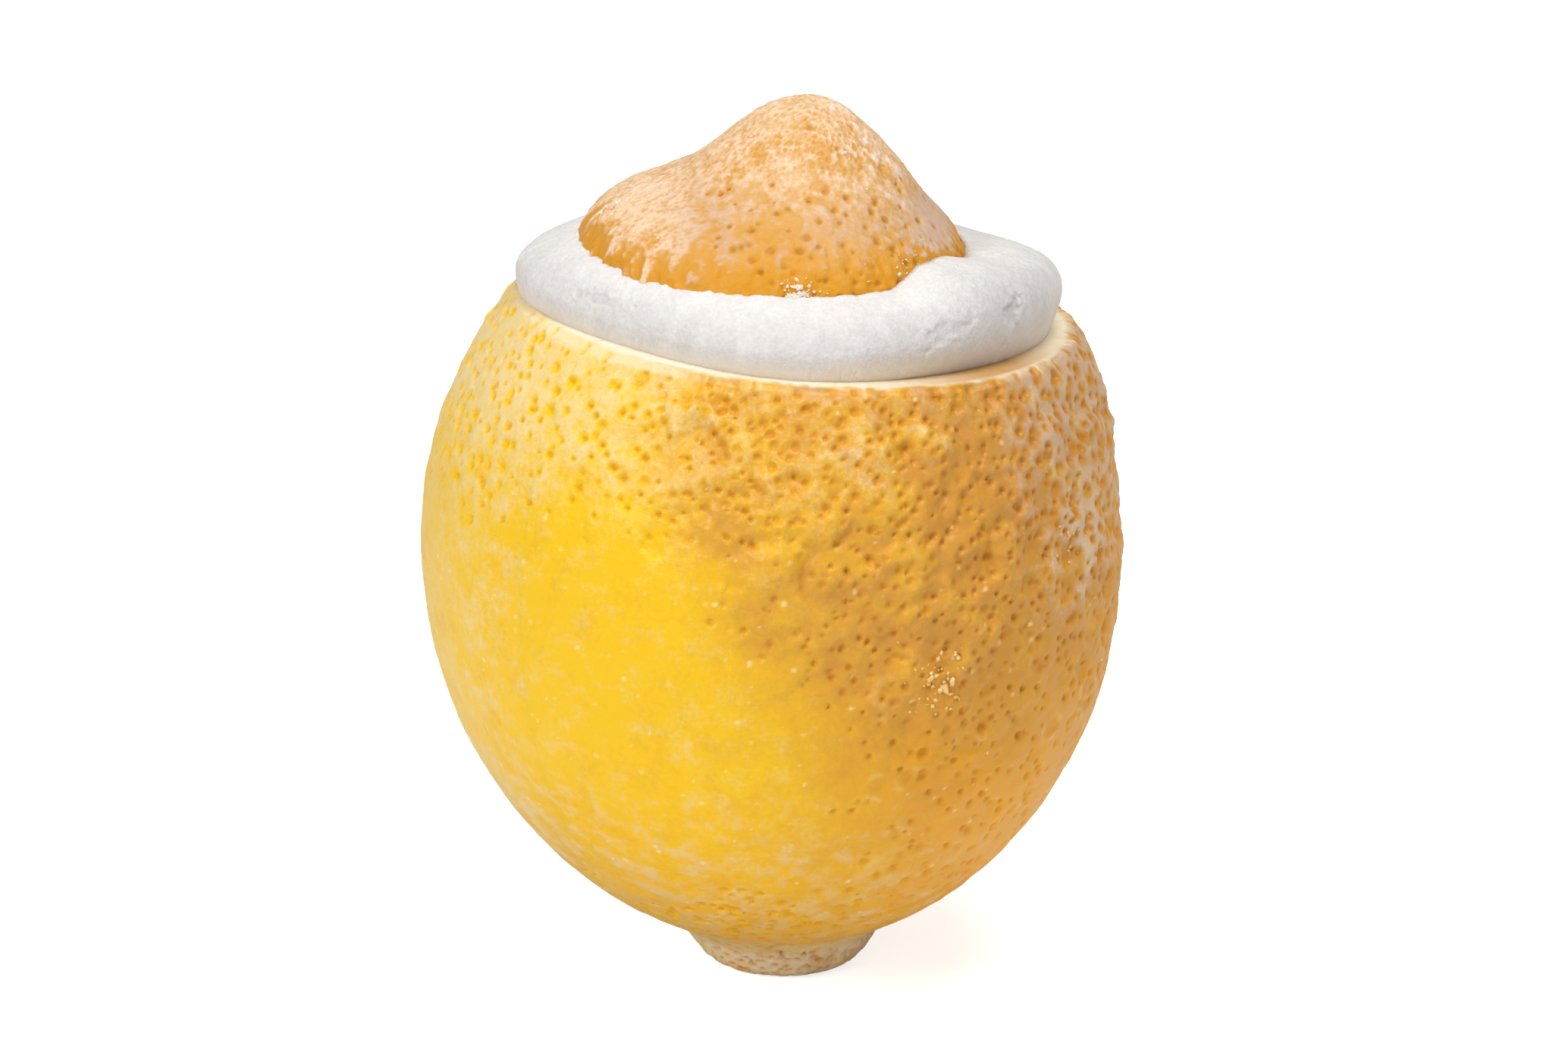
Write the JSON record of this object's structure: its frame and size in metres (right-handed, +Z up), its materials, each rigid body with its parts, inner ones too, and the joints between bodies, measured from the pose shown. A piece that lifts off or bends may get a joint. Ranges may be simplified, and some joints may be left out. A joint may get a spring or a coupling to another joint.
{
  "type": "lemon sorbet in lemon shell",
  "caption": "Hollowed lemon standing on its trimmed stem end, filled with white sorbet that swells over the slanting cut, with the lemon's pointed tip set on top as a cap.",
  "frame": {"origin": "middle of the flat foot, where the trimmed stem end meets the table", "axes": "+Z up through the standing lemon, -Y towards the front of the dessert, +X to its right, where the cut is lowest"},
  "size_m": [0.07, 0.0701, 0.0902],
  "materials": {
    "peel": "pored lemon peel with a thin haze of frost, cream pith at the cut",
    "sorbet": "smooth frozen sorbet, softly translucent",
    "frosted_peel": "pored orange-yellow lemon peel under white frost"
  },
  "bodies": {
    "root": {"lemon_shell": "peel", "sorbet": "sorbet", "lemon_cap": "frosted_peel"}
  },
  "joints": []
}
